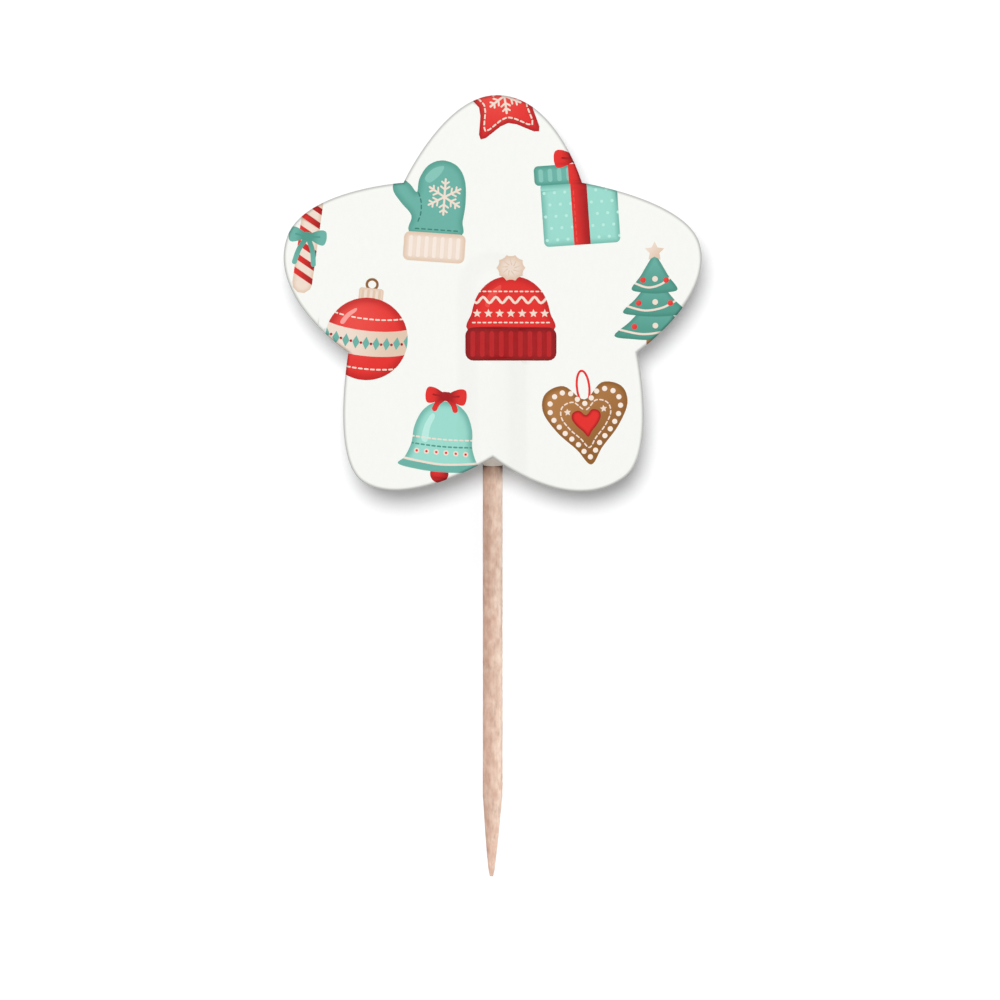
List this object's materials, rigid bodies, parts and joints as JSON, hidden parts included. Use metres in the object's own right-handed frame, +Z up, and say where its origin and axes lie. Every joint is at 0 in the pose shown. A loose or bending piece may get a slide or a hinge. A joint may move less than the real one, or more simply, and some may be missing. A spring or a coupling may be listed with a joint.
{
  "type": "cupcake pick",
  "caption": "Flat star-shaped printed card on a pointed round wooden stick, pushed upright into the top of a small cake as decoration.",
  "frame": {"origin": "the tip of the stick's point, where it is pushed into the cake", "axes": "+Z up the stick's axis, -Y the way the printed face looks, +X to the right as the printed face is seen"},
  "size_m": [0.046, 0.003, 0.086],
  "materials": {
    "printed_card": "matte",
    "adhesive_film": "satin",
    "backing_paper": "matte",
    "birch": "matte",
    "craft_glue": "satin"
  },
  "bodies": {
    "root": {"front_card": "printed_card", "adhesive_film": "adhesive_film", "backing_sheet": "backing_paper", "stick": "birch", "glue_fillet_left": "craft_glue", "glue_fillet_right": "craft_glue"}
  },
  "joints": []
}
